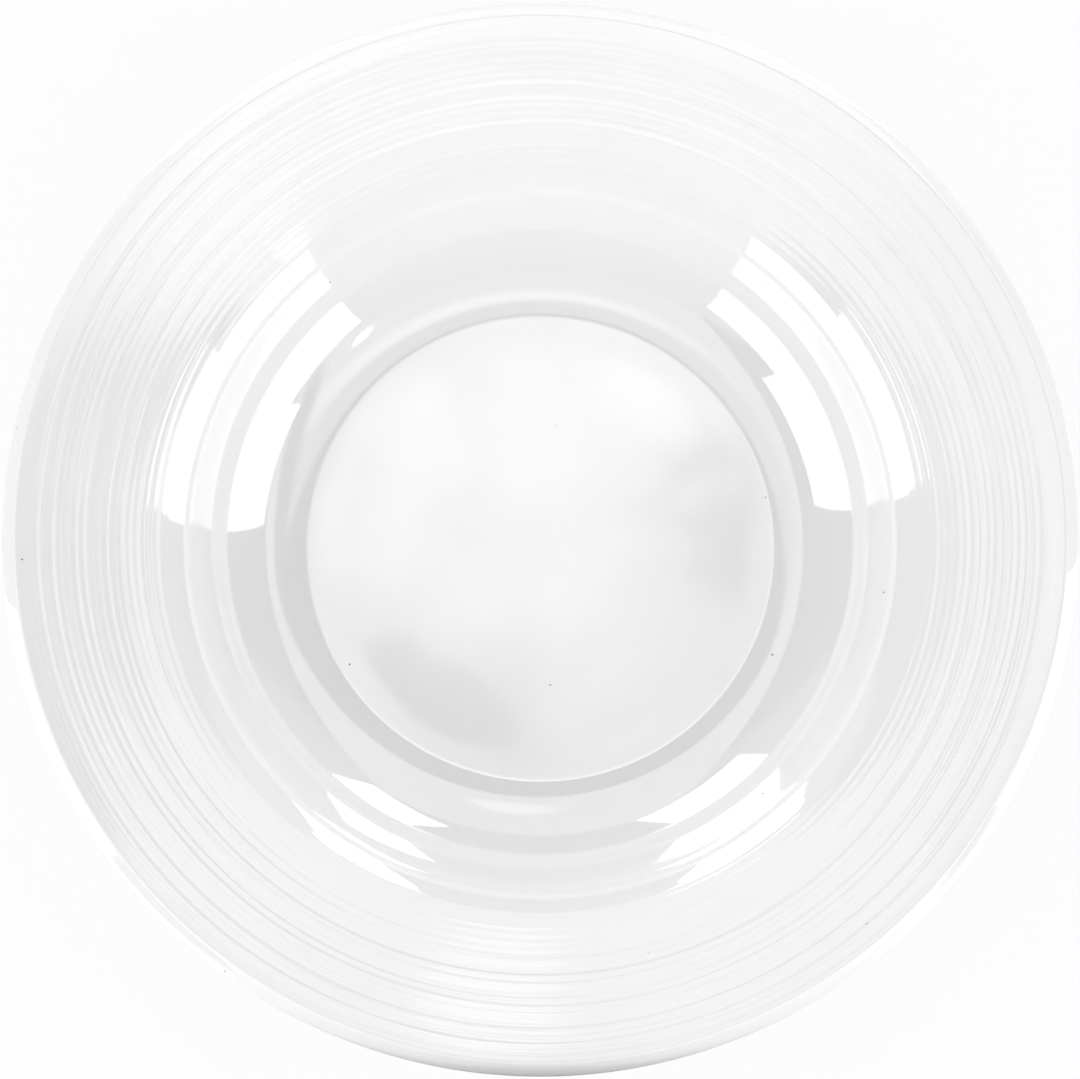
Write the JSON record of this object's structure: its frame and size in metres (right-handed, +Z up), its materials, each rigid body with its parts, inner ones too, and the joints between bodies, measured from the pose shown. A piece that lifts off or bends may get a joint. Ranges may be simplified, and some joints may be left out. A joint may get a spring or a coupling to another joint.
{
  "type": "bowl",
  "caption": "Round white china bowl with a wide ridged rim, a steep-walled well and a foot ring, for serving soup, pasta or salad.",
  "frame": {"origin": "centre of the foot ring, on the plane of its bearing edge", "axes": "+Z up along the bowl's axis of revolution; +X and +Y are any two level directions, with the picture taken from the -Y side"},
  "size_m": [0.24, 0.24, 0.04],
  "materials": {
    "china_clay": "fine matte fired clay, bare on the bearing edge",
    "china_glaze": "clear white gloss glaze"
  },
  "bodies": {
    "root": {"china_body": "china_clay", "glaze_coat": "china_glaze", "base_glaze": "china_glaze"}
  },
  "joints": []
}
